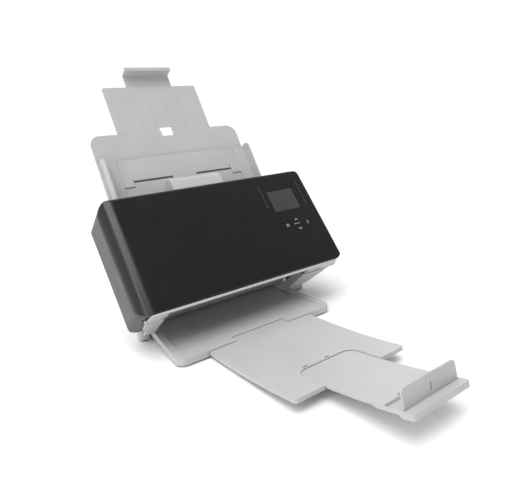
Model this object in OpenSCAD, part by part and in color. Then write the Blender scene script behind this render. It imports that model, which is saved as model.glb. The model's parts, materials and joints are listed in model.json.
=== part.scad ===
// Sheet fed document scanner with its input and output trays drawn out.
// Units are millimetres. X runs along the paper's width, -Y is the front and +Z is up.

/* [Front cover] */
// Width of the machine
cover_w = 334; // [330:1:338]
// Length of the sloping front face
cover_h = 165; // [160:1:170]
// Angle between the front face and the desk
cover_tilt = 51.6; // [50:0.1:53]
// Height of the front face's lower edge above the desk
cover_edge_z = 67.2; // [64:0.1:70]
// Depth of the black cover, down to the line where it parts
cover_depth = 20; // [18:0.5:22]
// Depth of the whole sloping slab
slab_depth = 71; // [66:1:76]
// Wall thickness of the housings
wall = 2.5; // [2:0.1:3]
// Radius of the outline's corners
corner_r = 16; // [12:1:20]
// Radius of the fillet between the face and the left side
side_r = 20; // [16:1:20]
// Radius of the fillet between the face and the right side
edge_r = 5; // [4:0.5:8]

/* [Paper path] */
// Sideways place of the paper path's centre line
paper_x = -14; // [-18:1:-10]
// Slope of the paper path
path_tilt = 58; // [57:0.1:59]
// Slope of the chute and the input tray
tray_tilt = 60; // [59:0.1:60]
// Length of the chute's panel above the slot where paper goes in
chute_len = 96; // [94:1:98]
// Half width of the chute
chute_half = 124; // [122:1:126]

/* [Input tray] */
// Half width of the first extension
tray_half = 122; // [118:1:123]
// Upper end of the first extension, along the slope
tray_end = 138.6; // [134:0.1:140]
// Half width of the second extension
riser_half = 77.6; // [70:0.1:80]
// Upper end of the second extension, along the slope
riser_end = 217.4; // [212:0.1:222]
// Half width of the last extension
lip_half = 37.9; // [34:0.1:40]
// Upper end of the last extension, along the slope
lip_end = 238; // [234:0.1:242]

/* [Output tray] */
// Radius of the arc that the output tray and its extensions lie on
arc_r = 1100; // [1050:10:1150]
// Distance from the front of the machine's middle to the arc's lowest line
arc_y = -110.9; // [-114:0.1:-108]
// Height of the arc's lowest line
arc_low = 10.2; // [9.8:0.1:11]
// Front edge of the tray
tray_front = -91.3; // [-94:0.1:-88]
// Length that the first extension stands out
out1_len = 166; // [160:1:170]
// Length that the second extension stands out beyond the first
out2_len = 107; // [100:1:110]
// Half width of the first extension
out1_half = 82.7; // [78:0.1:84]
// Half width of the second extension
out2_half = 42.3; // [40:0.1:43]
// Height of the paper stop above the extension
stop_h = 20; // [16:1:22]

/* [Rollers] */
// Radius of the feed roller
feed_r = 14; // [12:0.5:15]
// Radius of the drive and exit rollers
drive_r = 8; // [7:0.5:8.5]
// Radius of the separation roller
sep_r = 10; // [9:0.5:11]
// Radius of the idlers
idler_r = 5; // [4:0.5:6]

/* [Hidden] */
$fn = 96;
eps = 0.01;

// The origin goes on the desk under the middle of the whole object.
frame_shift_y = 91.12;
cover_x = 0;
cover_y = -64.5;
path_y = 53.1;
path_z = 156.1;
// The path's reference point and slope, seen in the cover's own frame.
path_u = (path_y - cover_y) * cos(cover_tilt) + (path_z - cover_edge_z) * sin(cover_tilt);
path_h = (path_z - cover_edge_z) * cos(cover_tilt) - (path_y - cover_y) * sin(cover_tilt);
path_slope = tan(path_tilt - cover_tilt);
function path_at(u) = path_h + (u - path_u) * path_slope;

parting = -cover_depth - 0.3;
hinge_u = -0.5;
hinge_h = -cover_depth - 0.5;
hinge_r = 2.5;
pin_r = 1.2;
chin_t = 3;

// Clear width between the side plates.
inner_x0 = -131;
inner_x1 = 97;
plate_t = 1.6;

feed_s = -22;
drive_s = -52;
exit_s = -112;
flag_s = -38;
nip = 0.4;
feed_h = nip - feed_r;
drive_h = nip - drive_r;
motor_s = -80;
motor_h = -54;
pulley_small = 6;
pulley_feed = pulley_small * feed_r / drive_r;
shaft_r = 3;
shaft_fit = 0.05;
jack_r = 3;
board_y = 82;
pulley_x0 = 101;
pulley_x1 = 107;
lower_scan_s = -77;
upper_scan_s = -92;
scan_x0 = -125;
scan_x1 = 91;

// Layers of the input tray, as depths below the chute's face.
chute_t = 2.5;
rack_top = -2.8;
rack_t = 2;
sheet_t = 1.6;
tray_top = -5.4;
riser_top = -7.5;
lip_top = -9.6;
back_in = -14;
back_t = 2;
guide_out = 120;
guide_travel = 60;
guide_s = 60;
pinion_r = 8;
pitch = PI;

// Layers of the output tray, as depths below the arc.
arc_z = arc_low + arc_r;
out1_top = 1.6;
out1_low = 6.3;
out2_top = 3.1;
out2_low = 5;
block_low = 6.7;
bar_low = 9.3;
tray_roof = 1.2;
tray_cavity = 7;
tray_z = 2.4;
tray_rear = 30;
bar_d = 12.5;
out1_front = tray_front - out1_len;
out2_front = out1_front - out2_len;
out1_full = 181;
out2_full = 170;
stop_y = out2_front + bar_d;

light = [0.79, 0.78, 0.78];
dark = [0.42, 0.42, 0.40];
black = [0.14, 0.14, 0.15];
steel = [0.62, 0.63, 0.65];
rubber = [0.10, 0.10, 0.10];
glass = [0.35, 0.42, 0.45];

module in_frame() {
    translate([0, frame_shift_y, 0]) children();
}

// Frame of the front face: X, up the face, and out of the face.
module on_cover() {
    translate([0, cover_y, cover_edge_z]) rotate([cover_tilt, 0, 0]) children();
}

// Frame of the paper path: X from its centre line, up the slope, and out of it.
module on_path() {
    translate([paper_x, path_y, path_z]) rotate([path_tilt, 0, 0]) children();
}

// Frame of the chute and the input tray, which lean back from the top of the paper path.
module on_tray() {
    translate([paper_x, path_y, path_z]) rotate([tray_tilt, 0, 0]) children();
}

// Frame that touches the output arc at a given y, with Z along the arc's normal.
module on_arc(y) {
    translate([paper_x, arc_y, arc_z]) rotate([asin((y - arc_y) / arc_r), 0, 0])
        translate([0, 0, -arc_r]) children();
}

// An outline in (Y, Z) drawn out along X.
module along_x(x0, x1) {
    translate([x0, 0, 0]) rotate([90, 0, 90]) linear_extrude(x1 - x0) children();
}

module block(x0, x1, y0, y1, z0, z1) {
    translate([x0, y0, z0]) cube([x1 - x0, y1 - y0, z1 - z0]);
}

module rod(x0, x1, y, z, r) {
    translate([x0, y, z]) rotate([0, 90, 0]) cylinder(h = x1 - x0, r = r);
}

module round_rect(w, l, r) {
    square([w - 2 * r, l], center = true);
    square([w, l - 2 * r], center = true);
    for (x = [-1, 1], y = [-1, 1]) translate([x * (w / 2 - r), y * (l / 2 - r)]) circle(r);
}

// Rounded rectangle from y0 to y1, with one radius above the middle and one below.
module two_radius_rect(w, y0, y1, r_low, r_high) {
    mid = (y0 + y1) / 2;
    intersection() {
        translate([0, mid]) round_rect(w, y1 - y0, r_high);
        translate([-w, mid]) square([2 * w, y1 - mid]);
    }
    intersection() {
        translate([0, mid]) round_rect(w, y1 - y0, r_low);
        translate([-w, y0]) square([2 * w, mid - y0]);
    }
}

// A sheet outline from y0 up to y1, rounded at its upper corners only.
module sheet_outline(half, y0, y1, r) {
    translate([-half, y0]) square([2 * half, y1 - y0 - r]);
    translate([r - half, y0]) square([2 * (half - r), y1 - y0]);
    for (x = [-1, 1]) translate([x * (half - r), y1 - r]) circle(r);
}

// Cross-section of the slab, whose left and right edges have fillets of their own.
module slab_section(t) {
    intersection() {
        two_radius_rect(cover_w - 2 * t, t - slab_depth, -t, 10 - t, side_r - t);
        translate([-cover_w, -slab_depth]) square([cover_w, slab_depth]);
    }
    intersection() {
        two_radius_rect(cover_w - 2 * t, t - slab_depth, -t, 10 - t, edge_r - t);
        translate([-eps, -slab_depth]) square([cover_w, slab_depth]);
    }
}

// The sloping slab that the cover and the rear case are cut from, inset by t.
module slab_form(t) {
    translate([cover_x, 0, 0]) intersection() {
        translate([0, cover_h / 2, -slab_depth])
            linear_extrude(slab_depth) round_rect(cover_w - 2 * t, cover_h - 2 * t, corner_r - t);
        translate([0, cover_h, 0]) rotate([90, 0, 0]) linear_extrude(cover_h) slab_section(t);
        translate([-cover_w / 2, cover_h / 2, 0]) rotate([90, 0, 90]) linear_extrude(cover_w)
            two_radius_rect(cover_h - 2 * t, t - slab_depth, -t, 15 - t, 4 - t);
    }
}

module slab_half(t, h0, h1) {
    intersection() {
        slab_form(t);
        block(-cover_w, cover_w, -eps, cover_h + eps, h0, h1);
    }
}

// A band of the output arc, from depth d0 to d1 and from y0 to y1.
module arc_band(half, d0, d1, y0, y1) {
    a0 = asin((y0 - arc_y) / arc_r);
    a1 = asin((y1 - arc_y) / arc_r);
    translate([paper_x, arc_y, arc_z]) rotate([0, 90, 0])
        rotate_extrude(angle = a1 - a0, start = a0, $fn = 256)
            polygon([[arc_r + d0, -half], [arc_r + d1, -half], [arc_r + d1, half], [arc_r + d0, half]]);
}

// The same band trimmed to an outline given in plan.
module arc_sheet(half, d0, d1, y0, y1) {
    intersection() {
        arc_band(half, d0, d1, y0, y1);
        translate([paper_x, 0, 0]) linear_extrude(90) children();
    }
}

// ---------------------------------------------------------------- base
module foot_plan(t) {
    hull() {
        for (p = [[-136, 20], [142, 20], [114, 84], [-114, 84]]) translate(p) circle(8 - t, $fn = 32);
    }
}

boss_places = [[-116, 46], [116, 46], [-115.8, 76], [115.8, 76], [-134, 24], [136, 24]];

module base_shell() {
    color(light) difference() {
        union() {
            translate([0, 0, 2.5]) linear_extrude(14.5) foot_plan(0);
            block(-122, 122, 34, 92, 10, 58);
            for (x = [-90, 60]) block(x, x + 16, 86.3, 89.3, 50, 72);
        }
        difference() {
            union() {
                translate([0, 0, 2]) linear_extrude(12.5) foot_plan(wall);
                block(-122 + wall, 122 - wall, 34 + wall, 92 - wall, 5, 54);
                block(-122 + wall, 122 - wall, 34 + wall, 86.2, 5, 60);
            }
            for (p = boss_places) translate([p[0], p[1], 0]) cylinder(r = 4.4, h = p[1] > 30 ? 26 : 16);
        }
        block(-131.2, 103, 10, tray_rear + 0.5, 2, 60);
        arc_band(84, 0.6, 7.6, 20, 60);
        // Notch in the hidden front wall for the motor and its belt.
        block(55, 109, 33, 37, 42, 60);
        for (p = boss_places) translate([p[0], p[1], 2]) cylinder(r = 4.6, h = 2.8);
        for (p = boss_places) translate([p[0], p[1], 2]) cylinder(r = 1.55, h = 11);
        for (x = [-82, 68]) translate([x, 95, 66]) rotate([90, 0, 0]) cylinder(r = 1.55, h = 12);
    }
}

module base_plate() {
    color(black) difference() {
        translate([0, 0, 2.5]) linear_extrude(2) foot_plan(wall + 0.3);
        block(-131.5, 103.3, 10, tray_rear + 0.8, 2, 6);
        for (p = boss_places) translate([p[0], p[1], 2]) cylinder(r = 1.6, h = 4);
        for (p = boss_places) translate([p[0], p[1], 2]) cylinder(r = 3, h = 1.8);
        for (i = [-6:6]) block(i * 12 - 2, i * 12 + 2, 50, 76, 2, 6);
    }
}

module rubber_feet() {
    color(rubber) for (p = [[-136, 20, 2.4], [140, 20, 2.4], [-104, 84, 2.4], [104, 84, 2.4],
        [-96, -78, tray_z - 0.1], [68, -78, tray_z - 0.1]]) {
        translate([p[0], p[1], 0]) {
            cylinder(r = 5, h = 1.2);
            cylinder(r = 4.4, h = p[2]);
        }
    }
}

module back_block(t) {
    difference() {
        block(t - 122, 122 - t, 20, 92 - t, 58 - t, 146 - t);
        translate([-130, 92 - t, 128 - t]) rotate([32, 0, 0]) block(0, 260, 0, 30, -10, 40);
    }
}

module rear_case() {
    color(dark) difference() {
        union() {
            on_cover() slab_half(0, -slab_depth - 1, parting);
            back_block(0);
        }
        on_cover() slab_half(wall, -slab_depth, 1);
        back_block(wall);
        // The cut where the chute and the paper come in.
        on_tray() block(-125, 125, -20, 70, back_in - back_t - 0.6, 40);
        // The belly stays open over the exit.
        on_cover() block(inner_x0 - 3, inner_x1 + 2.6, -1, 66, -95, -10);
        on_cover() block(inner_x1 + 1, 110, 20, 66, -95, -60);
        on_cover() block(-163, 163, -1, wall + 0.5, -24, -10);
        block(-119.5, 119.5, 28, 60, 40, 60);
        for (i = [-9:9]) block(i * 10 - 1.4, i * 10 + 1.4, 88, 94, 96, 122);
        block(84.8, 98.2, 88, 94, 71.8, 82.2);
        block(62.8, 75.2, 88, 94, 71.8, 82.2);
        block(22.7, 41.3, 88, 94, 69.8, 84.2);
        block(-106.5, -103.5, 88, 94, 70, 77);
        for (x = [-82, 68]) translate([x, 95, 66]) rotate([90, 0, 0]) cylinder(r = 1.6, h = 8);
        for (x = [-82, 68]) translate([x, 95, 66]) rotate([90, 0, 0]) cylinder(r = 3, h = 4.2);
    }
}

// Outline of the plates under the slab, in X and out of the face.
module under_plan(h0, h1) {
    intersection() {
        polygon([[-154, -1.2], [-157, -20], [-154, -48], [-140, -66], [138, -66], [147, -30],
            [152, -8], [151, -1.2]]);
        translate([-170, h0]) square([340, h1 - h0]);
    }
}

// Lower plate of the slab behind the parting line, with the mouth's cheeks.
module exit_cheeks() {
    color(light) {
        difference() {
            on_cover() union() {
                rotate([90, 0, 0]) linear_extrude(chin_t) under_plan(-66, hinge_h - hinge_r - 0.4);
                block(-146, -131, -chin_t, 0, -86, -40);
                block(inner_x1, 137, -chin_t, 0, -86, -40);
                for (x = [-133.5, inner_x1]) block(x, x + 2.2, -chin_t, 9, -80, -26);
                for (x = [-147.6, 136]) {
                    rod(x, x + 11.6, hinge_u, hinge_h, hinge_r);
                    block(x, x + 11.6, -chin_t, 0, -26, hinge_h);
                }
            }
            on_cover() block(-131.3, inner_x1, -5, 20, -90, -10);
            on_cover() for (x = [-158.3, 147.8]) rod(x, x + 10.5, hinge_u, hinge_h, hinge_r + 0.4);
            on_cover() for (x = [-148, 135.6]) rod(x, x + 12.4, hinge_u, hinge_h, pin_r + 0.02);
            block(-170, 170, -90, 60, -5, 19);
        }
    }
}

module cover_hinge_pins() {
    color(steel) on_cover() for (x = [-157.8, 136.2]) rod(x, x + 21.6, hinge_u, hinge_h, pin_r);
}

// ---------------------------------------------------------------- inner frame
bar_places = [[-48, -21], [-100, -20]];

module plate_outline(motor_arm) {
    if (motor_arm) {
        polygon([[-127, -1], [-8.5, -1], [-8.5, -29], [-50, -32], [-62, -72], [-98, -72],
            [-107, -32], [-127, -25]]);
    } else {
        polygon([[-127, -1], [-8.5, -1], [-8.5, -29], [-80, -22], [-90, -25], [-127, -25]]);
    }
}

module shaft_places(r) {
    for (p = [[feed_s, feed_h], [drive_s, drive_h], [exit_s, drive_h]]) translate(p) circle(r);
}

module left_side_plate() {
    color(steel) on_path() along_x(inner_x0 - plate_t - paper_x, inner_x0 - paper_x) difference() {
        plate_outline(false);
        shaft_places(5);
        for (p = bar_places) translate(p) circle(2.05);
    }
}

module right_side_plate() {
    color(steel) on_path() along_x(inner_x1 - paper_x, inner_x1 + plate_t - paper_x) difference() {
        plate_outline(true);
        shaft_places(5);
        for (p = bar_places) translate(p) circle(2.05);
        translate([motor_s, motor_h]) circle(11.2);
        for (x = [-1, 1], y = [-1, 1]) translate([motor_s + x * 13, motor_h + y * 13]) circle(1.6);
    }
}

module cross_bars() {
    color(steel) on_path() for (p = bar_places) {
        rod(inner_x0 - paper_x, inner_x1 - paper_x, p[0], p[1], 4);
        rod(inner_x0 - paper_x - 1.9, inner_x1 - paper_x + 1.9, p[0], p[1], 2);
    }
}

module shaft_bushes() {
    color(black) on_path() for (x = [inner_x0 - paper_x - 3.2, inner_x1 - paper_x - 1.4]) {
        for (p = [[feed_s, feed_h], [drive_s, drive_h], [exit_s, drive_h]]) {
            difference() {
                union() {
                    rod(x, x + 4.6, p[0], p[1], 4.95);
                    rod(x > 0 ? x + 3.1 : x, x > 0 ? x + 4.6 : x + 1.5, p[0], p[1], 6.2);
                }
                rod(x - 1, x + 6, p[0], p[1], shaft_r + shaft_fit);
            }
        }
    }
}

tyre_x = [-92, -36, 24, 80];
tyre_w = 12;

module roller_windows(h0, h1, grow) {
    block(-34 - grow, 34 + grow, feed_s - 9 - grow, feed_s + 9 + grow, h0, h1);
    for (x = tyre_x, s = [drive_s, exit_s]) {
        block(x - grow, x + tyre_w + grow, s - 6.4, s + 6.4, h0, h1);
    }
}

module lower_guide() {
    color(light) on_path() difference() {
        union() {
            along_x(inner_x0 + 0.3 - paper_x, inner_x1 - 0.3 - paper_x)
                polygon([[-8.4, 0], [-124, 0], [-131, -6], [-133, -44], [-131, -45], [-128.5, -7.5],
                    [-122, -2.5], [-8.4, -2.5]]);
            for (x = [-60, -40, 0, 40, 60]) block(x - 0.8, x + 0.8, -14, -9, -6, 0.2);
        }
        roller_windows(-20, 5, 1.2);
        block(scan_x0 - 0.3 - paper_x, scan_x1 + 0.3 - paper_x, lower_scan_s - 9.3, lower_scan_s + 9.3, -9, 3);
        block(43.5, 48.5, flag_s - 6, flag_s + 3, -9, 3);
    }
}

module lower_scan_module() {
    color(black) on_path() difference() {
        block(scan_x0 - paper_x, scan_x1 - paper_x, lower_scan_s - 9, lower_scan_s + 9, -16, -0.4);
        block(scan_x0 + 3 - paper_x, scan_x1 - 3 - paper_x, lower_scan_s - 7.1, lower_scan_s + 7.1, -2, 1);
        block(scan_x0 + 6 - paper_x, scan_x1 - 6 - paper_x, lower_scan_s - 4, lower_scan_s + 4, -12, 1);
    }
}

module lower_scan_glass() {
    color(glass) on_path()
        block(scan_x0 + 3.1 - paper_x, scan_x1 - 3.1 - paper_x, lower_scan_s - 7, lower_scan_s + 7, -2, -0.2);
}

module motor() {
    color(steel) on_path() difference() {
        union() {
            along_x(inner_x1 - 38 - paper_x, inner_x1 - paper_x) difference() {
                translate([motor_s, motor_h]) square([35, 35], center = true);
                for (a = [0 : 3]) translate([motor_s, motor_h]) rotate(45 + 90 * a)
                    translate([27.5, 0]) square([10, 12], center = true);
            }
            rod(inner_x1 - 1 - paper_x, inner_x1 + 2 - paper_x, motor_s, motor_h, 11);
        }
        rod(inner_x1 - 30 - paper_x, inner_x1 + 3 - paper_x, motor_s, motor_h, 2.55);
        for (x = [-1, 1], y = [-1, 1]) {
            rod(inner_x1 - 6 - paper_x, inner_x1 + 1 - paper_x, motor_s + x * 13, motor_h + y * 13, 1.25);
        }
    }
}

pulleys = [[feed_s, feed_h, pulley_feed], [drive_s, drive_h, pulley_small],
    [exit_s, drive_h, pulley_small], [motor_s, motor_h, pulley_small]];

module drive_belt() {
    color(rubber) on_path() along_x(pulley_x0 + 1 - paper_x, pulley_x1 - 1 - paper_x) difference() {
        hull() for (p = pulleys) translate([p[0], p[1]]) circle(p[2] + 1.5, $fn = 64);
        hull() for (p = pulleys) translate([p[0], p[1]]) circle(p[2] + 0.35, $fn = 64);
    }
}

module pulley(p) {
    rod(pulley_x0 + 0.8 - paper_x, pulley_x1 - 0.8 - paper_x, p[0], p[1], p[2]);
    rod(pulley_x0 - paper_x, pulley_x0 + 0.8 - paper_x, p[0], p[1], p[2] + 1.8);
    rod(pulley_x1 - 0.8 - paper_x, pulley_x1 - paper_x, p[0], p[1], p[2] + 1.8);
}

module shaft(i) {
    rod(inner_x0 - 5 - paper_x, pulley_x1 + 1 - paper_x, pulleys[i][0], pulleys[i][1], shaft_r);
    pulley(pulleys[i]);
}

module feed_shaft() {
    color(steel) on_path() {
        shaft(0);
        for (x = [-32, 8]) rod(x + 0.5, x + 23.5, feed_s, feed_h, feed_r - 3);
    }
}

module tread(x0, x1, s, h, r, core, ribs) {
    difference() {
        rod(x0, x1, s, h, r);
        rod(x0 - 1, x1 + 1, s, h, core);
        for (i = [1 : ribs]) {
            difference() {
                rod(x0 + i * (x1 - x0) / (ribs + 1) - 0.6, x0 + i * (x1 - x0) / (ribs + 1) + 0.6, s, h, r + 1);
                rod(x0, x1, s, h, r - 0.7);
            }
        }
    }
}

module feed_tyres() {
    color(rubber) on_path() for (x = [-32, 8]) tread(x, x + 24, feed_s, feed_h, feed_r, feed_r - 3, 5);
}

module drive_shaft() {
    color(steel) on_path() shaft(1);
}

module drive_tyres() {
    color(rubber) on_path() for (x = tyre_x) tread(x, x + tyre_w, drive_s, drive_h, drive_r, shaft_r, 2);
}

module exit_shaft() {
    color(steel) on_path() shaft(2);
}

module exit_tyres() {
    color(rubber) on_path() for (x = tyre_x) tread(x, x + tyre_w, exit_s, drive_h, drive_r, shaft_r, 2);
}

module motor_pulley() {
    color(steel) on_path() {
        pulley(pulleys[3]);
        rod(inner_x1 - 28 - paper_x, pulley_x0 - paper_x, motor_s, motor_h, 2.5);
    }
}

// Lever that paper tips as it passes; its pin turns in the guide's ribs.
module paper_flag() {
    color(black) on_path() {
        rod(41, 51, flag_s, -6, 1.4);
        along_x(44.5, 47.5) polygon([[flag_s - 1.5, -6.5], [flag_s + 1.5, -6.5], [flag_s + 1, -1],
            [flag_s - 0.5, 0.9], [flag_s - 2, 0.9]]);
        along_x(44.5, 47.5) polygon([[flag_s - 1.5, -5.5], [flag_s + 1.5, -5.5], [flag_s + 1.2, -15],
            [flag_s - 1.2, -15]]);
    }
}

// ---------------------------------------------------------------- electronics
module main_board() {
    color([0.10, 0.32, 0.18]) {
        block(-100, 112, board_y - 1.6, board_y, 68, 128);
        for (p = [[-70, 100, 18], [-30, 84, 26], [10, 104, 14], [70, 98, 16]]) {
            block(p[0], p[0] + p[2], board_y - 4, board_y - 1.6, p[1], p[1] + p[2]);
        }
        for (x = [-90 : 14 : -34]) translate([x, board_y - 1.6, 72]) rotate([90, 0, 0]) cylinder(r = 3, h = 8);
    }
}

module power_jack() {
    color(black) difference() {
        block(85, 98, board_y, 91.6, 72, 82);
        translate([91.5, 93, 77]) rotate([90, 0, 0]) cylinder(r = jack_r, h = 9.4);
    }
}

module usb_port() {
    color(steel) difference() {
        block(63, 75, board_y, 91.6, 72, 82);
        block(64.5, 73.5, 87, 93, 73.5, 80.5);
        block(66, 72, 87, 93, 80, 81);
    }
    color(black) block(66.5, 71.5, 86.9, 91, 75.4, 78.6);
}

// Rocker in the rear wall; its cap's two halves slope away from the pin.
module power_rocker() {
    color(black) translate([32, 88, 77]) {
        along_x(-9, 9) polygon([[-1, -5.4], [3.6, -5.4], [5.1, 5.4], [-1, 5.4]]);
        rod(-9.4, 9.4, 0.2, 0, 1);
    }
}

module case_screws() {
    color(steel) {
        for (p = boss_places) translate([p[0], p[1], 2.6]) {
            difference() {
                cylinder(r = 2.8, h = 1.2);
                cylinder(r = 1.4, h = 0.7, $fn = 6);
            }
            cylinder(r = 1.5, h = 9);
        }
        for (x = [-82, 68]) translate([x, 92, 66]) rotate([90, 0, 0]) {
            difference() {
                cylinder(r = 2.8, h = 1.2);
                cylinder(r = 1.4, h = 0.7, $fn = 6);
            }
            cylinder(r = 1.5, h = 7);
        }
    }
}

// ---------------------------------------------------------------- output tray
module tray_plan(inset, front, rear) {
    slope = 0.1075;
    front_half = 126 - inset;
    r = 14;
    difference() {
        polygon([[-front_half, front], [front_half, front],
            [front_half - (rear - front) * slope, rear], [(rear - front) * slope - front_half, rear]]);
        for (x = [-1, 1]) translate([x * (front_half - r), front + r]) difference() {
            translate([x > 0 ? 0 : -r - 1, -r - 1]) square([r + 1, r + 1]);
            circle(r);
        }
    }
}

module output_tray() {
    color(light) difference() {
        translate([paper_x, 0, 0]) union() {
            difference() {
                translate([0, 0, tray_z]) linear_extrude(28) tray_plan(0, tray_front, tray_rear);
                translate([-140, arc_y, arc_z]) rotate([0, 90, 0]) cylinder(r = arc_r, h = 280, $fn = 256);
            }
            // Side rims, which run out to nothing at the front edge.
            difference() {
                translate([0, 0, tray_z]) linear_extrude(28) difference() {
                    tray_plan(0, tray_front, tray_rear);
                    tray_plan(8, tray_front - 20, tray_rear + 10);
                }
                translate([-140, tray_front, 10.4]) rotate([4.6, 0, 0]) block(0, 280, -20, 160, 0, 60);
            }
        }
        arc_band(83.4, tray_roof, tray_cavity, tray_front - 10, tray_rear + 10);
        translate([paper_x, tray_front, 0]) linear_extrude(60) round_rect(85.6, 2 * 12.8, 3);
        for (x = [-134, 73]) block(x, x + 20, tray_front + 14, tray_rear - 6, 1, 6);
    }
}

module u_notch(half, y_front, depth, r) {
    translate([0, y_front + depth / 2 - 20]) round_rect(2 * half, depth + 40, r);
}

module output_extension() {
    color(light) difference() {
        arc_sheet(out1_half, out1_top, out1_low, out1_front, out1_front + out1_full)
            translate([0, out1_front + 100]) mirror([0, 1]) sheet_outline(out1_half, -90, 100, 4);
        // Channel for the inner extension.
        arc_band(out2_half + 0.4, 2.8, 5.3, out1_front - 5, out1_front + out1_full - 4);
        // Notch in the top skin, and a shorter one through the bottom skin.
        arc_sheet(60, 0, 5, out1_front - 5, out1_front + 60) u_notch(42.7, out1_front, 48, 14.5);
        arc_sheet(60, 2, 8, out1_front - 5, out1_front + 60) u_notch(42.7, out1_front, 37, 3);
        for (x = [-25, 8]) translate([paper_x + x - 4, out1_front + 50.5, 0]) block(0, 8, 0, 2, 0, 16.6);
        // Ribbed pockets under the outer strips.
        for (x = [-81, 45.5], i = [0 : 3]) {
            arc_sheet(84, 2.9, 8, out1_front, out1_front + out1_full)
                translate([x, out1_front + 6 + i * 43.5]) square([35.5, 38]);
        }
    }
}

module output_end() {
    color(light) difference() {
        union() {
            arc_band(out2_half, out2_top, out2_low, stop_y + 23.4, out2_front + out2_full);
            on_arc(stop_y) intersection() {
                along_x(-out2_half, out2_half) polygon([[-bar_d, -out2_top], [-bar_d, -bar_low],
                    [0.5, -bar_low], [4, -block_low], [29, -block_low + 0.4], [33, -out2_low - 0.3],
                    [33, -4], [24, -4], [24, -out2_top + 0.18]]);
                translate([0, 0, -20]) linear_extrude(30)
                    mirror([0, 1]) sheet_outline(out2_half, -40, bar_d, 3.5);
            }
        }
        on_arc(stop_y) {
            block(-40.2, 40.2, -0.5, 22.4, -6, 0);
            block(-2.4, 2.4, 2.6, 15.5, -7.5, -5);
            block(-16, 16, 20, 27.5, -6, 0);
            rod(-40.2, 40.2, 0, -4.8, 2.1);
            block(-40.2, 40.2, -2.1, 0, -4.8, 0);
            rod(-42, 42, 0, -4.8, 0.95);
        }
    }
}

module paper_stop() {
    color(light) on_arc(stop_y) {
        rod(-39.8, 39.8, 0, -4.8, 1.6);
        rod(-41.5, 41.5, 0, -4.8, 0.9);
        translate([0, 0.9, -4.8]) rotate([90, 0, 0]) linear_extrude(1.8) difference() {
            sheet_outline(39.6, 0, stop_h + 1.7, 5);
            translate([0, 9.5]) square([1.6, 9], center = true);
        }
        translate([0, 1.3, 1.5]) block(-1.8, 1.8, -0.5, 0.3, -3, 8);
    }
}

// ---------------------------------------------------------------- input tray
module chute_outline() {
    sheet_outline(chute_half, -8, chute_len - 1.5, 8);
    translate([0, chute_len - 10]) square([2 * 62, 20], center = true);
}

module input_chute() {
    color(light) on_tray() difference() {
        union() {
            translate([0, 0, -chute_t]) linear_extrude(chute_t) chute_outline();
            for (x = [-1, 1]) translate([x * 123.2, 0, 0]) block(-0.8, 0.8, -8, 26, back_in, -chute_t);
            for (x = [-105 : 15 : 105]) if (abs(x) > 88) block(x - 0.6, x + 0.6, -6, 8, -0.5, 0.4);
        }
        for (x = [-1, 1]) translate([x * 55, guide_s, -5]) linear_extrude(8)
            round_rect(71, 3.2, 1.5);
        translate([0, guide_s, -chute_t - 1]) cylinder(r = 2.05, h = 2.6);
        block(-36, 36, -9, -4.5, -4, 2);
    }
}

module chute_back_cover() {
    color(light) on_tray() {
        difference() {
            translate([0, 0, back_in - back_t]) linear_extrude(back_t) {
                sheet_outline(chute_half, -8, 34, 8);
                sheet_outline(112, 20, chute_len - 3, 8);
            }
            for (i = [-5 : 5]) block(i * 18 - 1.5, i * 18 + 1.5, 24, 70, back_in - 3, back_in + 1);
        }
    }
}

// Rack that runs behind the chute; side is the direction of its teeth.
module rack(x0, x1, side) {
    n = floor((x1 - x0) / pitch);
    translate([0, guide_s, rack_top - rack_t]) linear_extrude(rack_t) {
        translate([x0, side > 0 ? pinion_r + 1.1 : -pinion_r - 4.1]) square([x1 - x0, 3]);
        for (i = [-2 * n : 2 * n]) {
            x = (i + 0.5) * pitch;
            if (x > x0 + 1.2 && x < x1 - 1.2) {
                polygon([[x - 0.85, side * (pinion_r + 1.2)], [x + 0.85, side * (pinion_r + 1.2)],
                    [x + 0.3, side * (pinion_r - 0.7)], [x - 0.3, side * (pinion_r - 0.7)]]);
            }
        }
    }
}

// Wall and foot of one paper guide, drawn on the right; the left one is its mirror image.
module guide_wall() {
    along_x(guide_out - 2.5, guide_out) difference() {
        polygon([[17, 0.3], [95, 0.3], [95, 18], [28.5, 18], [26, 12.6], [17, 12.6]]);
        translate([88, 11]) difference() {
            square([8, 8]);
            circle(7);
        }
    }
    block(guide_out - 22, guide_out, 17, 95, 0.3, 1.9);
    block(82, guide_out - 20, 52, 68, 0.3, 1.5);
}

// Foot through the chute's slot, and the bridge to the rack behind it.
module guide_link() {
    translate([85, guide_s, 0]) block(-2.5, 2.5, -1.2, 1.2, rack_top, 0.5);
    block(82, 88, guide_s - 13, guide_s + 3, rack_top - rack_t, rack_top);
}

module right_guide() {
    color(light) on_tray() {
        guide_wall();
        guide_link();
        rack(-8, 87, -1);
    }
}

module left_guide() {
    color(light) on_tray() {
        mirror([1, 0, 0]) translate([0, 2 * guide_s, 0]) mirror([0, 1, 0]) guide_link();
        mirror([1, 0, 0]) guide_wall();
        rack(-87, 8, 1);
    }
}

module guide_pinion() {
    color(black) on_tray() translate([0, guide_s, 0]) {
        translate([0, 0, rack_top - rack_t]) linear_extrude(rack_t) {
            circle(pinion_r - 1.2);
            for (i = [0 : 15]) rotate(i * 22.5) polygon([[-0.85, pinion_r - 1.6], [0.85, pinion_r - 1.6],
                [0.35, pinion_r + 0.7], [-0.35, pinion_r + 0.7]]);
        }
        translate([0, 0, rack_top - 0.1]) cylinder(r = 2, h = 1.6);
    }
}

module sheet_rails(half, s0, s1, top, below) {
    for (x = [-1, 1]) translate([x * (half + 1.2), 0, 0]) {
        block(-0.75, 0.75, s0, s1, below - 0.1, top);
    }
}

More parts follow.
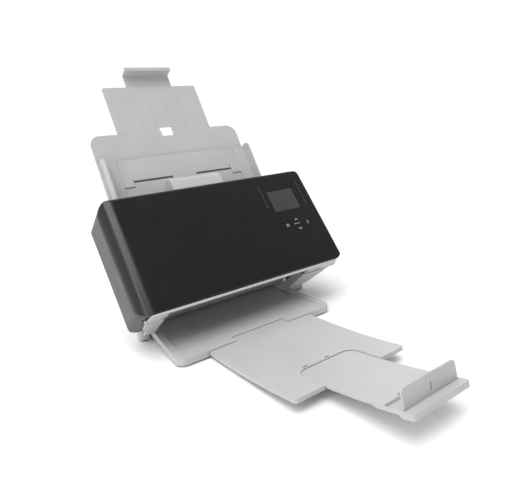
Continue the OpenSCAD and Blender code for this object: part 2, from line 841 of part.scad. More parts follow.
module input_tray() {
    color(light) on_tray() {
        translate([0, 0, tray_top - sheet_t]) linear_extrude(sheet_t) difference() {
            sheet_outline(tray_half, 38.6, tray_end, 16);
            translate([0, tray_end]) square([20, 17], center = true);
        }
        sheet_rails(riser_half, 39, tray_end - 2, tray_top - sheet_t, riser_top - sheet_t);
    }
}

module input_riser() {
    color(light) on_tray() {
        translate([0, 0, riser_top - sheet_t]) linear_extrude(sheet_t) difference() {
            sheet_outline(riser_half, 117.4, riser_end, 3);
            translate([0, 138]) round_rect(20, 16, 1);
        }
        sheet_rails(lip_half, 118, riser_end - 2, riser_top - sheet_t, lip_top - sheet_t);
    }
}

module input_lip() {
    color(light) on_tray() {
        translate([0, 0, lip_top - sheet_t]) linear_extrude(sheet_t)
            sheet_outline(lip_half, 174, lip_end + 4, 2);
        translate([-lip_half, lip_end + 0.5, lip_top - 0.5]) cube([2 * lip_half, 2.4, 13.6]);
        along_x(-lip_half, lip_half) translate([lip_end + 3, 3.4]) round_rect(6.4, 3, 1.2);
    }
}

// ---------------------------------------------------------------- front cover
window_x = 111.5;
window_u = 115.5;

module lever_notch() {
    block(111, 137, 155, cover_h + 1, -25, -4);
}

module front_cover() {
    color(black) on_cover() difference() {
        slab_half(0, -cover_depth, 1);
        slab_half(wall, -cover_depth - 1, -wall);
        translate([window_x, window_u, -6]) linear_extrude(10) round_rect(52, 40, 2);
        block(paper_x - 41.6, paper_x + 41.6, cover_h - 6, cover_h + 1, -21, -3.4);
        block(-170, 170, -1, wall + 0.4, -21, hinge_h + hinge_r + 0.4);
        lever_notch();
    }
}

module display_window() {
    color([0.05, 0.05, 0.06]) on_cover() translate([window_x, window_u, -1.9])
        linear_extrude(1.6) round_rect(51.6, 39.6, 1.8);
}

module display_board() {
    color([0.10, 0.32, 0.18]) on_cover() {
        block(84, 156, 50, 145.5, -9.4, -8);
        block(88, 135, 98, 133, -8, -2);
        for (p = [[96, 72], [116, 80], [116, 62], [136, 71], [116, 71]]) {
            translate([p[0], p[1], -8]) cylinder(r = 4, h = 5.2);
        }
    }
}

module cover_chin() {
    color(light) on_cover() difference() {
        union() {
            rotate([90, 0, 0]) linear_extrude(chin_t) under_plan(hinge_h + hinge_r + 0.4, 0);
            for (x = [-158, 148]) {
                rod(x, x + 10, hinge_u, hinge_h, hinge_r);
                block(x, x + 10, -chin_t, 0, hinge_h, -16);
            }
        }
        block(-131, inner_x1 - 1, -5, 5, -25, -4.6);
        for (x = [-158.4, 147.4]) rod(x, x + 11, hinge_u, hinge_h, pin_r + 0.06);
        for (x = [-148, 135.6]) rod(x, x + 12.4, hinge_u, hinge_h, hinge_r + 0.35);
    }
}

module cover_frame() {
    x0 = inner_x0 + 1.8;
    x1 = inner_x1 - 1.8;
    color(dark) difference() {
        on_cover() along_x(x0, x1)
            polygon([[8, -3], [157, -3], [157, path_at(157) + 8], [142, path_at(142) + 1.4],
                [16, path_at(16) + 1.4], [8, path_at(16) + 7]]);
        on_cover() along_x(x0 + 2.5, x1 - 2.5)
            polygon([[10.5, 1], [154.5, 1], [154.5, path_at(154.5) + 10.5], [141, path_at(141) + 3.9],
                [17, path_at(17) + 3.9], [10.5, path_at(17) + 8]]);
        on_path() roller_windows(-1, 9, 1.6);
        on_path() block(scan_x0 - 0.3 - paper_x, scan_x1 + 0.3 - paper_x,
            upper_scan_s - 8.3, upper_scan_s + 8.3, -1, 9);
        on_path() block(43, 49, flag_s - 7, flag_s + 3, 0, 9);
        on_path() rod(-30, 30, feed_s, sep_r + 0.8, sep_r + 1.2);
        on_cover() block(window_x - 30, inner_x1 + 1, 46, 151, -12, 0);
        on_cover() block(paper_x - 41.5, paper_x + 41.5, 148, 160, -45, -3);
        on_path() for (p = [[feed_s, sep_r + 0.8, 2.06], [drive_s, idler_r + 0.8, 2.06],
            [exit_s, idler_r + 0.8, 2.06]]) rod(-130, 130, p[0], p[1], p[2]);
    }
}

module feed_module_cover() {
    color(light) difference() {
        on_cover() along_x(paper_x - 41, paper_x + 41) hull() {
            translate([178, -14]) circle(10, $fn = 32);
            translate([181, -21.5]) circle(6.5, $fn = 32);
            translate([152, -12]) circle(8.5, $fn = 32);
            translate([151, path_at(151) + 6.5]) circle(4, $fn = 24);
        }
        on_cover() along_x(paper_x - 38.6, paper_x + 38.6) hull() {
            translate([178, -14]) circle(7.6, $fn = 32);
            translate([181, -21.5]) circle(4, $fn = 32);
            translate([148, -12]) circle(6, $fn = 32);
            translate([146, path_at(146) + 6.5]) circle(2, $fn = 24);
        }
        on_cover() block(paper_x - 42, paper_x + 42, 130, 148.4, -60, 0);
    }
}

module upper_scan_module() {
    color(black) on_path() difference() {
        block(scan_x0 - paper_x, scan_x1 - paper_x, upper_scan_s - 8, upper_scan_s + 8, 1.6, 16);
        block(scan_x0 + 3 - paper_x, scan_x1 - 3 - paper_x, upper_scan_s - 6.6, upper_scan_s + 6.6, 1, 3.3);
        block(scan_x0 + 6 - paper_x, scan_x1 - 6 - paper_x, upper_scan_s - 4, upper_scan_s + 4, 1, 12);
    }
}

module upper_scan_glass() {
    color(glass) on_path()
        block(scan_x0 + 3.1 - paper_x, scan_x1 - 3.1 - paper_x, upper_scan_s - 6.5, upper_scan_s + 6.5, 1.5, 3.3);
}

module separation_axle() {
    color(steel) on_path() rod(-112, 108, feed_s, sep_r + 0.8, 2);
}

module separation_tyre() {
    color(rubber) on_path() tread(-24, 24, feed_s, sep_r + 0.8, sep_r, 2, 7);
}

module idler_set(s) {
    for (x = tyre_x) difference() {
        rod(x + 0.5, x + tyre_w - 0.5, s, idler_r + 0.8, idler_r);
        for (e = [x + 0.4, x + tyre_w - 2]) difference() {
            rod(e, e + 1.6, s, idler_r + 0.8, idler_r - 1);
            rod(e - 1, e + 3, s, idler_r + 0.8, 2.8);
        }
    }
    rod(-112, 108, s, idler_r + 0.8, 2);
}

module upper_drive_idlers() {
    color(dark) on_path() idler_set(drive_s);
}

module upper_exit_idlers() {
    color(dark) on_path() idler_set(exit_s);
}

// Latch at the cover's upper right: a finger tab, a pivot pin and a rounded nose.
lever_u = 150;
lever_h = -11;

module release_lever() {
    color(black) on_cover() {
        rod(110, 138, lever_u, lever_h, 2);
        along_x(114, 134) polygon([[lever_u - 2, lever_h - 3], [cover_h - 1, lever_h - 4],
            [cover_h - 1, lever_h - 1], [lever_u + 2, lever_h + 2], [lever_u - 2, lever_h + 2]]);
        along_x(120, 128) polygon([[lever_u - 3, lever_h], [lever_u + 2, lever_h], [lever_u, -27],
            [lever_u - 3, -27]]);
        rod(120, 128, lever_u - 2.5, -26.5, 1.5);
    }
}

module latch_strike() {
    color(steel) on_cover() difference() {
        block(117, 131, lever_u - 9.5, lever_u - 4.6, -40, -22);
        rod(116, 132, lever_u - 2.5, -26.5, 2.4);
    }
}

in_frame() base_shell();
in_frame() base_plate();
in_frame() rubber_feet();
in_frame() rear_case();
in_frame() exit_cheeks();
in_frame() left_side_plate();
in_frame() right_side_plate();
in_frame() cross_bars();
in_frame() lower_guide();
in_frame() lower_scan_module();
in_frame() lower_scan_glass();
in_frame() shaft_bushes();
in_frame() motor();
in_frame() drive_belt();
in_frame() main_board();
in_frame() power_jack();
in_frame() usb_port();
in_frame() power_rocker();
in_frame() output_tray();
in_frame() input_chute();
in_frame() chute_back_cover();
in_frame() case_screws();
in_frame() cover_hinge_pins();
in_frame() latch_strike();
in_frame() feed_shaft();
in_frame() feed_tyres();
in_frame() drive_shaft();
in_frame() drive_tyres();
in_frame() exit_shaft();
in_frame() exit_tyres();
in_frame() motor_pulley();
in_frame() paper_flag();
in_frame() left_guide();
in_frame() right_guide();
in_frame() guide_pinion();
in_frame() input_tray();
in_frame() input_riser();
in_frame() input_lip();
in_frame() output_extension();
in_frame() output_end();
in_frame() paper_stop();
in_frame() front_cover();
in_frame() display_window();
in_frame() display_board();
in_frame() cover_chin();
in_frame() cover_frame();
in_frame() feed_module_cover();
in_frame() upper_scan_module();
in_frame() upper_scan_glass();
in_frame() separation_axle();
in_frame() separation_tyre();
in_frame() upper_drive_idlers();
in_frame() upper_exit_idlers();
in_frame() release_lever();
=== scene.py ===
"""Looks of the sheet fed document scanner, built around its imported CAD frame. Units are metres."""

import json
import math

import bmesh
import bpy
from mathutils import Matrix, Vector


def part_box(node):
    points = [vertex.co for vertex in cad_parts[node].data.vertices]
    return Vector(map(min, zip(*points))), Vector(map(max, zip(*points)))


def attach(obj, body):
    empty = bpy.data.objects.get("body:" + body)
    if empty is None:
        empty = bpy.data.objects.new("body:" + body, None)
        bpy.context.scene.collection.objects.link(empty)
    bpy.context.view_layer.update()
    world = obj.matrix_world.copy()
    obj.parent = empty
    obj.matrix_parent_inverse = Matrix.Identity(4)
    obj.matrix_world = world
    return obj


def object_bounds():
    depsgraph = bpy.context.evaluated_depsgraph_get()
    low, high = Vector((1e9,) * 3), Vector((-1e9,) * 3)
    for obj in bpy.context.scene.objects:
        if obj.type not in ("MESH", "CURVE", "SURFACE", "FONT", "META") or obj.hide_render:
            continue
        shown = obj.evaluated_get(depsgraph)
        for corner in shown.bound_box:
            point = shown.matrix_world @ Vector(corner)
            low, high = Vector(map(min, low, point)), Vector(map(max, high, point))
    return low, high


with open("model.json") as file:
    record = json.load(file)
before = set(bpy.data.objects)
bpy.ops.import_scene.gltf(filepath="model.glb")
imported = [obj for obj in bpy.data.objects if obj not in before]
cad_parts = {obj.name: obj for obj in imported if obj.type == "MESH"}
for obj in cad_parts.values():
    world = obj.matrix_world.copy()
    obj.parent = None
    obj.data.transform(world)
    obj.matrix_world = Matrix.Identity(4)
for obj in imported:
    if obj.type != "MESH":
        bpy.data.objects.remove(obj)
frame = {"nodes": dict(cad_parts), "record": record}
cad_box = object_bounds()

MM = 0.001

# Slopes of the front face and of the chute, in degrees.
COVER_TILT = 51.6
CHUTE_TILT = 60.0

# The display window's middle, seen in the front face's own frame, in millimetres.
WINDOW_X = 111.5
WINDOW_U = 115.5
WINDOW_H = -1.1

# Upper edge, front and thickness of the chute's back cover, in the chute's frame, in millimetres.
BACK_END = 93.0
BACK_FRONT = -14.0
BACK_T = 2.0

# Front of the second input stage, and the fine ribs on it, in the chute's frame, in millimetres.
RISER_TOP = -7.5
RIB_PLACES = (-36, -14, 14, 36)
RIB_START = 150
RIB_END = 212
RIB_WIDTH = 1.2
RIB_HEIGHT = 0.22

# The camera's place in metres, its axes, and its lens in millimetres, fitted to the photograph.
CAMERA_PLACE = (-0.3607, -0.49988, 0.2906)
CAMERA_RIGHT = (0.7991, -0.5975, -0.0669)
CAMERA_FORWARD = (0.5624, 0.7822, -0.2681)
CAMERA_LENS = 33.6

# Direction of the darker patch of sky, where it starts and is full, and its brightness outside and in.
DARK_SKY = (0.25, -0.87, 0.42)
PATCH_START = 0.08
PATCH_FULL = 0.85
SKY_LEVEL = 1.05
PATCH_LEVEL = 0.32


# ---------------------------------------------------------------- shader parts

def new_material(name):
    """An empty node material with a Principled shader."""
    material = bpy.data.materials.new(name)
    material.use_nodes = True
    tree = material.node_tree
    tree.nodes.clear()
    output = tree.nodes.new("ShaderNodeOutputMaterial")
    shader = tree.nodes.new("ShaderNodeBsdfPrincipled")
    tree.links.new(shader.outputs["BSDF"], output.inputs["Surface"])
    return material, tree, shader


def noise(tree, size, detail=2.0, stretch=(1.0, 1.0, 1.0)):
    """Noise with blotches about size across, on the part's own coordinates."""
    place = tree.nodes.new("ShaderNodeTexCoord")
    scale = tree.nodes.new("ShaderNodeMapping")
    scale.inputs["Scale"].default_value = stretch
    texture = tree.nodes.new("ShaderNodeTexNoise")
    texture.inputs["Scale"].default_value = 1.0 / size
    texture.inputs["Detail"].default_value = detail
    tree.links.new(place.outputs["Object"], scale.inputs["Vector"])
    tree.links.new(scale.outputs["Vector"], texture.inputs["Vector"])
    return texture.outputs[0]


def spread(tree, value, from_low, from_high, to_low, to_high):
    """The value carried from one range to another."""
    node = tree.nodes.new("ShaderNodeMapRange")
    node.inputs["From Min"].default_value = from_low
    node.inputs["From Max"].default_value = from_high
    node.inputs["To Min"].default_value = to_low
    node.inputs["To Max"].default_value = to_high
    tree.links.new(value, node.inputs["Value"])
    return node.outputs["Result"]


def tint(tree, factor, low, high, start=0.3, end=0.7):
    """A colour that runs from low to high with the factor."""
    ramp = tree.nodes.new("ShaderNodeValToRGB")
    ramp.color_ramp.elements[0].position = start
    ramp.color_ramp.elements[1].position = end
    ramp.color_ramp.elements[0].color = (*low, 1.0)
    ramp.color_ramp.elements[1].color = (*high, 1.0)
    tree.links.new(factor, ramp.inputs["Fac"])
    return ramp.outputs["Color"]


def mixed(tree, factor, first, second):
    """One colour laid over another where the factor is high; second is a plain colour."""
    node = tree.nodes.new("ShaderNodeMixRGB")
    node.inputs["Color2"].default_value = (*second, 1.0)
    tree.links.new(factor, node.inputs["Fac"])
    tree.links.new(first, node.inputs["Color1"])
    return node.outputs["Color"]


def soft_edges(tree, radius):
    """Normal of a surface whose edges are rounded by radius."""
    bevel = tree.nodes.new("ShaderNodeBevel")
    bevel.samples = 4
    bevel.inputs["Radius"].default_value = radius
    return bevel.outputs["Normal"]


def edge_mask(tree, edges):
    """1 where the rounded normal turns away from the true one, so along edges."""
    geometry = tree.nodes.new("ShaderNodeNewGeometry")
    dot = tree.nodes.new("ShaderNodeVectorMath")
    dot.operation = "DOT_PRODUCT"
    tree.links.new(edges, dot.inputs[0])
    tree.links.new(geometry.outputs["Normal"], dot.inputs[1])
    return spread(tree, dot.outputs["Value"], 0.98, 0.80, 0.0, 1.0)


def bump(tree, height, distance, strength, normal):
    """Small relief from a height, on top of a normal."""
    node = tree.nodes.new("ShaderNodeBump")
    node.inputs["Distance"].default_value = distance
    node.inputs["Strength"].default_value = strength
    tree.links.new(height, node.inputs["Height"])
    tree.links.new(normal, node.inputs["Normal"])
    return node.outputs["Normal"]


def scaled(colour, factor):
    return tuple(min(1.0, channel * factor) for channel in colour)


# ---------------------------------------------------------------- materials

def moulded(name, colour, roughness, grain, height, wear):
    """Injection-moulded plastic: even colour with a slow drift, eroded grain, edges rubbed lighter."""
    material, tree, shader = new_material(name)
    edges = soft_edges(tree, 0.45 * MM)
    drift = noise(tree, 60 * MM, 3.0)
    fleck = noise(tree, 0.9 * MM, 4.0)
    body = tint(tree, drift, scaled(colour, 0.965), scaled(colour, 1.035))
    rubbed = spread(tree, edge_mask(tree, edges), 0.0, 1.0, 0.0, wear)
    worn = mixed(tree, rubbed, body, scaled(colour, 1.25))
    dust = spread(tree, fleck, 0.62, 0.80, 0.0, 0.10)
    tree.links.new(mixed(tree, dust, worn, scaled(colour, 0.80)), shader.inputs["Base Color"])
    patch = noise(tree, 25 * MM, 5.0)
    tree.links.new(
        spread(tree, patch, 0.3, 0.7, roughness - 0.05, roughness + 0.05), shader.inputs["Roughness"])
    relief = bump(tree, noise(tree, grain, 2.0), height, 0.6, edges)
    tree.links.new(relief, shader.inputs["Normal"])
    shader.inputs["Specular IOR Level"].default_value = 0.5
    return material


def steel(name):
    """Zinc-plated sheet: a rolled streak along the sheet, and a faint spangle."""
    material, tree, shader = new_material(name)
    edges = soft_edges(tree, 0.25 * MM)
    streak = noise(tree, 2 * MM, 3.0, (0.05, 1.0, 1.0))
    spangle = noise(tree, 7 * MM, 1.0)
    body = tint(tree, streak, (0.50, 0.51, 0.53), (0.60, 0.61, 0.63))
    veil = spread(tree, spangle, 0.45, 0.7, 0.0, 0.4)
    tree.links.new(mixed(tree, veil, body, (0.66, 0.67, 0.69)), shader.inputs["Base Color"])
    tree.links.new(spread(tree, streak, 0.3, 0.7, 0.28, 0.42), shader.inputs["Roughness"])
    tree.links.new(bump(tree, streak, 0.02 * MM, 0.4, edges), shader.inputs["Normal"])
    shader.inputs["Metallic"].default_value = 1.0
    shader.inputs["Anisotropic"].default_value = 0.4
    return material


def rubber(name, colour):
    """Matt rubber, a little dusty on its high spots."""
    material, tree, shader = new_material(name)
    edges = soft_edges(tree, 0.3 * MM)
    powder = noise(tree, 1.2 * MM, 6.0)
    body = tint(tree, noise(tree, 12 * MM, 3.0), scaled(colour, 0.85), scaled(colour, 1.15))
    veil = spread(tree, powder, 0.5, 0.75, 0.0, 0.25)
    tree.links.new(mixed(tree, veil, body, scaled(colour, 1.9)), shader.inputs["Base Color"])
    tree.links.new(spread(tree, powder, 0.3, 0.7, 0.72, 0.9), shader.inputs["Roughness"])
    tree.links.new(bump(tree, powder, 0.04 * MM, 0.5, edges), shader.inputs["Normal"])
    shader.inputs["Specular IOR Level"].default_value = 0.3
    return material


def scan_glass(name):
    """Clear glass over the scan modules, with faint wiping marks."""
    material, tree, shader = new_material(name)
    edges = soft_edges(tree, 0.15 * MM)
    wipe = noise(tree, 6 * MM, 4.0, (0.15, 1.0, 1.0))
    body = tint(tree, wipe, (0.88, 0.94, 0.93), (0.95, 0.98, 0.97))
    tree.links.new(body, shader.inputs["Base Color"])
    tree.links.new(spread(tree, wipe, 0.3, 0.8, 0.01, 0.10), shader.inputs["Roughness"])
    tree.links.new(bump(tree, wipe, 0.004 * MM, 0.2, edges), shader.inputs["Normal"])
    shader.inputs["Transmission Weight"].default_value = 0.85
    shader.inputs["IOR"].default_value = 1.5
    return material


def display_glass(name):
    """Polished black window, with the slight smears that fingers leave."""
    material, tree, shader = new_material(name)
    edges = soft_edges(tree, 0.3 * MM)
    smear = noise(tree, 9 * MM, 5.0, (1.0, 0.5, 0.5))
    body = tint(tree, smear, (0.010, 0.010, 0.012), (0.015, 0.015, 0.017))
    tree.links.new(body, shader.inputs["Base Color"])
    tree.links.new(spread(tree, smear, 0.4, 0.75, 0.12, 0.24), shader.inputs["Roughness"])
    tree.links.new(bump(tree, smear, 0.005 * MM, 0.2, edges), shader.inputs["Normal"])
    shader.inputs["Specular IOR Level"].default_value = 0.35
    return material


def circuit_board(name):
    """Green solder mask over copper tracks, drawn by the edges of square cells."""
    material, tree, shader = new_material(name)
    place = tree.nodes.new("ShaderNodeTexCoord")
    cells = tree.nodes.new("ShaderNodeTexVoronoi")
    cells.distance = "CHEBYCHEV"
    cells.feature = "F1"
    cells.inputs["Scale"].default_value = 260.0
    tree.links.new(place.outputs["Object"], cells.inputs["Vector"])
    tracks = spread(tree, cells.outputs["Distance"], 0.32, 0.36, 0.0, 1.0)
    body = tint(tree, noise(tree, 18 * MM), (0.012, 0.105, 0.045), (0.018, 0.140, 0.060))
    tree.links.new(mixed(tree, tracks, body, (0.035, 0.20, 0.09)), shader.inputs["Base Color"])
    tree.links.new(spread(tree, tracks, 0.0, 1.0, 0.32, 0.45), shader.inputs["Roughness"])
    edges = soft_edges(tree, 0.2 * MM)
    tree.links.new(bump(tree, tracks, 0.05 * MM, 0.5, edges), shader.inputs["Normal"])
    return material


def printed(name, colour):
    """Thin screen-printed ink: a little uneven in density."""
    material, tree, shader = new_material(name)
    density = noise(tree, 0.8 * MM, 3.0)
    body = tint(tree, density, scaled(colour, 0.86), scaled(colour, 1.05))
    tree.links.new(body, shader.inputs["Base Color"])
    tree.links.new(spread(tree, density, 0.3, 0.7, 0.42, 0.55), shader.inputs["Roughness"])
    edges = soft_edges(tree, 0.05 * MM)
    tree.links.new(bump(tree, density, 0.01 * MM, 0.3, edges), shader.inputs["Normal"])
    return material


def screen_face(name):
    """Unlit display: dark grey, with its fine rows of cells."""
    material, tree, shader = new_material(name)
    place = tree.nodes.new("ShaderNodeTexCoord")
    rows = tree.nodes.new("ShaderNodeTexWave")
    rows.bands_direction = "Z"
    rows.inputs["Scale"].default_value = 320.0
    rows.inputs["Distortion"].default_value = 0.0
    tree.links.new(place.outputs["Object"], rows.inputs["Vector"])
    body = tint(tree, noise(tree, 30 * MM), (0.048, 0.048, 0.052), (0.060, 0.060, 0.065))
    lines = spread(tree, rows.outputs["Fac"], 0.0, 1.0, 0.0, 0.12)
    tree.links.new(mixed(tree, lines, body, (0.03, 0.03, 0.034)), shader.inputs["Base Color"])
    tree.links.new(spread(tree, rows.outputs["Fac"], 0.0, 1.0, 0.30, 0.36), shader.inputs["Roughness"])
    shader.inputs["Specular IOR Level"].default_value = 0.3
    return material


def floor_paint(name):
    """Pale studio floor with a barely visible mottle."""
    material, tree, shader = new_material(name)
    mottle = noise(tree, 400 * MM, 2.0)
    tree.links.new(tint(tree, mottle, (0.95, 0.95, 0.95), (0.97, 0.97, 0.97)), shader.inputs["Base Color"])
    tree.links.new(spread(tree, mottle, 0.3, 0.7, 0.85, 0.95), shader.inputs["Roughness"])
    shader.inputs["Specular IOR Level"].default_value = 0.1
    return material


LIGHT_GREY = (0.50, 0.487, 0.483)
DARK_GREY = (0.078, 0.078, 0.074)
BLACK = (0.006, 0.006, 0.0065)
SOFT_BLACK = (0.022, 0.022, 0.023)
KEY_INK = (0.50, 0.50, 0.51)
LINE_INK = (0.12, 0.12, 0.125)


def slot_materials():
    """One finished material for each material slot of the record."""
    return {
        "light_plastic": moulded("light_plastic", LIGHT_GREY, 0.50, 0.35 * MM, 0.015 * MM, 0.35),
        "dark_plastic": moulded("dark_plastic", DARK_GREY, 0.50, 0.35 * MM, 0.02 * MM, 0.35),
        "black_gloss": moulded("black_gloss", BLACK, 0.24, 0.30 * MM, 0.002 * MM, 0.25),
        "black_plastic": moulded("black_plastic", SOFT_BLACK, 0.52, 0.3 * MM, 0.02 * MM, 0.4),
        "sheet_steel": steel("sheet_steel"),
        "rubber": rubber("rubber", (0.025, 0.025, 0.025)),
        "grey_rubber": rubber("grey_rubber", (0.11, 0.115, 0.12)),
        "scan_glass": scan_glass("scan_glass"),
        "display_glass": display_glass("display_glass"),
        "circuit_board": circuit_board("circuit_board"),
    }


def paint_cad_nodes(materials):
    """Each CAD node takes the material of its own slot in the record."""
    for part in frame["record"]["subparts"]:
        node = frame["nodes"][part["node"]]
        finish = materials[part["material_slot"]]
        for index in range(len(node.material_slots)):
            node.material_slots[index].material = finish


# ---------------------------------------------------------------- places on the part

def tilted(origin, degrees, x, along, out):
    """Point on a plane that leans back by so many degrees: across, up the slope and out of it, in mm."""
    slope = math.radians(degrees)
    return Vector((
        origin.x + x * MM,
        origin.y + (along * math.cos(slope) - out * math.sin(slope)) * MM,
        origin.z + (along * math.sin(slope) + out * math.cos(slope)) * MM,
    ))


def cover_origin():
    """Origin of the front face's frame, from the display window's place."""
    low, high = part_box("display_window")
    middle = (low + high) / 2
    step = tilted(Vector((0, 0, 0)), COVER_TILT, WINDOW_X, WINDOW_U, WINDOW_H)
    return middle - step


def chute_origin():
    """Origin of the chute's frame, from the upper edge of the chute's back cover."""
    low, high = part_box("chute_back_cover")
    slope = math.radians(CHUTE_TILT)
    edge = Vector(((low.x + high.x) / 2, high.y - BACK_T * MM * math.sin(slope), high.z))
    return edge - tilted(Vector((0, 0, 0)), CHUTE_TILT, 0, BACK_END, BACK_FRONT)


COVER = cover_origin()
CHUTE = chute_origin()


def on_cover(x, u, h):
    return tilted(COVER, COVER_TILT, x, u, h)


def on_chute(x, s, h):
    return tilted(CHUTE, CHUTE_TILT, x, s, h)


# ---------------------------------------------------------------- pieces

def finished_mesh(name, shape):
    """The object made of a closed bmesh, with its normals outward."""
    bmesh.ops.recalc_face_normals(shape, faces=shape.faces)
    mesh = bpy.data.meshes.new(name)
    shape.to_mesh(mesh)
    shape.free()
    piece = bpy.data.objects.new(name, mesh)
    bpy.context.scene.collection.objects.link(piece)
    return piece


def outline_piece(name, outlines, place, low, high):
    """A thin piece from flat outlines, each a closed list of (x, along), between two heights."""
    shape = bmesh.new()
    for outline in outlines:
        top = [shape.verts.new(place(x, v, high)) for x, v in outline]
        foot = [shape.verts.new(place(x, v, low)) for x, v in outline]
        shape.faces.new(top)
        shape.faces.new(list(reversed(foot)))
        for i in range(len(outline)):
            j = (i + 1) % len(outline)
            shape.faces.new((foot[i], foot[j], top[j], top[i]))
    return finished_mesh(name, shape)


def rounded(cx, cy, width, height, radius, steps=6):
    """Closed outline of a rectangle with round corners."""
    corners = ((1, 1, 0), (-1, 1, 90), (-1, -1, 180), (1, -1, 270))
    points = []
    for sx, sy, start in corners:
        mx = cx + sx * (width / 2 - radius)
        my = cy + sy * (height / 2 - radius)
        for k in range(steps + 1):
            angle = math.radians(start + 90 * k / steps)
            points.append((mx + radius * math.cos(angle), my + radius * math.sin(angle)))
    return points


def ring_quads(cx, cy, inner, outer, steps=32):
    """A ring as a chain of four-sided outlines."""
    quads = []
    for k in range(steps):
        a = 2 * math.pi * k / steps
        b = 2 * math.pi * (k + 1) / steps
        quads.append([
            (cx + inner * math.cos(a), cy + inner * math.sin(a)),
            (cx + outer * math.cos(a), cy + outer * math.sin(a)),
            (cx + outer * math.cos(b), cy + outer * math.sin(b)),
            (cx + inner * math.cos(b), cy + inner * math.sin(b)),
        ])
    return quads


def chevron(cx, cy, half, rise, line, turn):
    """An open angle sign of even line width, turned by so many degrees; at 0 it points up."""
    slant = line * math.hypot(half, rise) / half
    points = [
        (-half, -rise / 2), (0, rise / 2), (half, -rise / 2),
        (half, -rise / 2 - slant), (0, rise / 2 - slant), (-half, -rise / 2 - slant),
    ]
    angle = math.radians(turn)
    return [
        (cx + x * math.cos(angle) - y * math.sin(angle), cy + x * math.sin(angle) + y * math.cos(angle))
        for x, y in points
    ]


def make_key_signs(ink):
    """Printed signs of the touch keys: ring with a dot, three chevrons and a dash."""
    outlines = ring_quads(96, 72, 1.7, 2.4)
    outlines.append(rounded(96, 72, 1.5, 1.5, 0.7))
    outlines.append(chevron(116, 79.2, 2.9, 2.4, 0.95, 0))
    outlines.append(chevron(116, 62.4, 2.9, 2.4, 0.95, 180))
    outlines.append(chevron(135.5, 70.4, 2.9, 2.4, 0.95, -90))
    outlines.append(rounded(114, 71.6, 11, 0.7, 0.3))
    signs = outline_piece("key_signs", outlines, on_cover, 0.0, 0.04)
    signs.data.materials.append(ink)
    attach(signs, "cover")


def make_panel_lines(ink):
    """Two fine lines printed on either side of the display."""
    outlines = [rounded(77.5, 126.5, 0.55, 41, 0.25), rounded(150.5, 121, 0.55, 42, 0.25)]
    lines = outline_piece("panel_lines", outlines, on_cover, 0.0, 0.03)
    lines.data.materials.append(ink)
    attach(lines, "cover")


def make_screen(face):
    """The display's visible face, just over its glass."""
    outline = rounded(WINDOW_X, WINDOW_U, 48, 36, 1.2)
    screen = outline_piece("screen_face", [outline], on_cover, -0.3, -0.26)
    screen.data.materials.append(face)
    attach(screen, "cover")


def rib_row(shape, x, s, scale, steps):
    """Half-round section of a rib at one place, as a row of vertices."""
    row = []
    for k in range(steps + 1):
        angle = math.pi * k / steps
        across = x + math.cos(angle) * RIB_WIDTH / 2
        out = RISER_TOP - 0.02 + math.sin(angle) * RIB_HEIGHT * scale
        row.append(shape.verts.new(on_chute(across, s, out)))
    return row


def make_riser_ribs(finish):
    """Fine ribs with round backs that run up the second input stage."""
    shape = bmesh.new()
    steps = 8
    sections = ((RIB_START, 0.15), (RIB_START + 3, 1.0), (RIB_END - 3, 1.0), (RIB_END, 0.15))
    for x in RIB_PLACES:
        rows = [rib_row(shape, x, s, scale, steps) for s, scale in sections]
        for first, second in zip(rows, rows[1:]):
            for k in range(steps):
                shape.faces.new((first[k], first[k + 1], second[k + 1], second[k]))
            shape.faces.new((first[0], second[0], second[-1], first[-1]))
        shape.faces.new(rows[0])
        shape.faces.new(list(reversed(rows[-1])))
    ribs = finished_mesh("riser_ribs", shape)
    for face in ribs.data.polygons:
        face.use_smooth = True
    ribs.data.materials.append(finish)
    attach(ribs, "input_riser")


# ---------------------------------------------------------------- studio

def make_floor():
    """Flat floor just under the scanner's feet."""
    shape = bmesh.new()
    bmesh.ops.create_grid(shape, x_segments=8, y_segments=8, size=6.0)
    mesh = bpy.data.meshes.new("floor")
    shape.to_mesh(mesh)
    shape.free()
    floor = bpy.data.objects.new("floor", mesh)
    bpy.context.scene.collection.objects.link(floor)
    floor.location.z = cad_box[0][2] - 0.0002
    floor.data.materials.append(floor_paint("floor_paint"))


def area_light(name, place, target, width, height, power):
    """A soft rectangular light at a place, turned to its target."""
    data = bpy.data.lights.new(name, "AREA")
    data.shape = "RECTANGLE"
    data.size = width
    data.size_y = height
    data.energy = power
    lamp = bpy.data.objects.new(name, data)
    bpy.context.scene.collection.objects.link(lamp)
    lamp.location = place
    lamp.rotation_euler = (Vector(target) - Vector(place)).to_track_quat("-Z", "Y").to_euler()


def soft_sun(name, source, strength, spread_degrees):
    """An even light from one direction, wide enough to leave only faint shadows."""
    data = bpy.data.lights.new(name, "SUN")
    data.energy = strength
    data.angle = math.radians(spread_degrees)
    lamp = bpy.data.objects.new(name, data)
    bpy.context.scene.collection.objects.link(lamp)
    lamp.rotation_euler = (-Vector(source)).to_track_quat("-Z", "Y").to_euler()


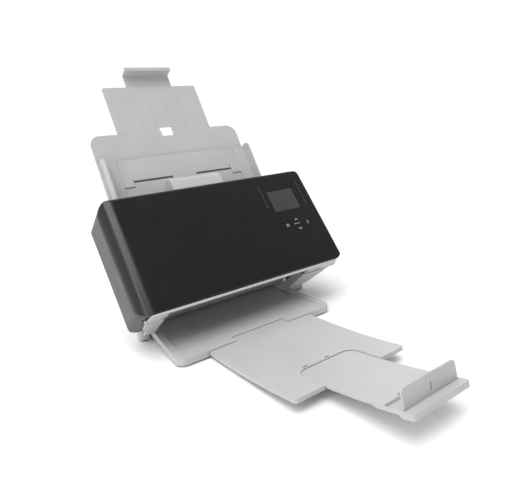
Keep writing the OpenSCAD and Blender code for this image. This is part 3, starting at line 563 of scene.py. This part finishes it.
def studio_world():
    """White surroundings, with one soft, darker patch that lights the part but isn't seen itself."""
    world = bpy.data.worlds.new("studio")
    world.use_nodes = True
    tree = world.node_tree
    backdrop = tree.nodes["Background"]
    place = tree.nodes.new("ShaderNodeTexCoord")
    dot = tree.nodes.new("ShaderNodeVectorMath")
    dot.operation = "DOT_PRODUCT"
    dot.inputs[1].default_value = DARK_SKY
    tree.links.new(place.outputs["Generated"], dot.inputs[0])
    level = tree.nodes.new("ShaderNodeMapRange")
    level.interpolation_type = "SMOOTHSTEP"
    level.inputs["From Min"].default_value = PATCH_START
    level.inputs["From Max"].default_value = PATCH_FULL
    level.inputs["To Min"].default_value = SKY_LEVEL
    level.inputs["To Max"].default_value = PATCH_LEVEL
    tree.links.new(dot.outputs["Value"], level.inputs["Value"])
    ray = tree.nodes.new("ShaderNodeLightPath")
    seen = tree.nodes.new("ShaderNodeMix")
    seen.inputs["B"].default_value = SKY_LEVEL
    tree.links.new(ray.outputs["Is Camera Ray"], seen.inputs["Factor"])
    tree.links.new(level.outputs["Result"], seen.inputs["A"])
    tree.links.new(seen.outputs["Result"], backdrop.inputs["Strength"])
    backdrop.inputs["Color"].default_value = (1.0, 1.0, 1.0, 1.0)
    bpy.context.scene.world = world


def make_lights():
    studio_world()
    area_light("left_strip", (-1.15, -0.45, 0.95), (-0.1, 0.0, 0.12), 0.25, 0.9, 2.6)
    soft_sun("overhead", (-0.25, -0.20, 1.0), 1.7, 45.0)


def make_camera():
    """Camera at the photograph's viewing angle."""
    data = bpy.data.cameras.new("photo_camera")
    data.sensor_width = 36.0
    data.lens = CAMERA_LENS
    camera = bpy.data.objects.new("photo_camera", data)
    bpy.context.scene.collection.objects.link(camera)
    right = Vector(CAMERA_RIGHT).normalized()
    back = -Vector(CAMERA_FORWARD).normalized()
    up = back.cross(right).normalized()
    turn = Matrix((right, up, back)).transposed()
    camera.matrix_world = Matrix.Translation(CAMERA_PLACE) @ turn.to_4x4()
    bpy.context.scene.camera = camera


# ---------------------------------------------------------------- the scene

finishes = slot_materials()
paint_cad_nodes(finishes)
make_key_signs(printed("key_ink", KEY_INK))
make_panel_lines(printed("line_ink", LINE_INK))
make_screen(screen_face("screen_face"))
make_riser_ribs(finishes["light_plastic"])
make_floor()
make_lights()
make_camera()
bpy.context.scene.view_settings.view_transform = "Standard"
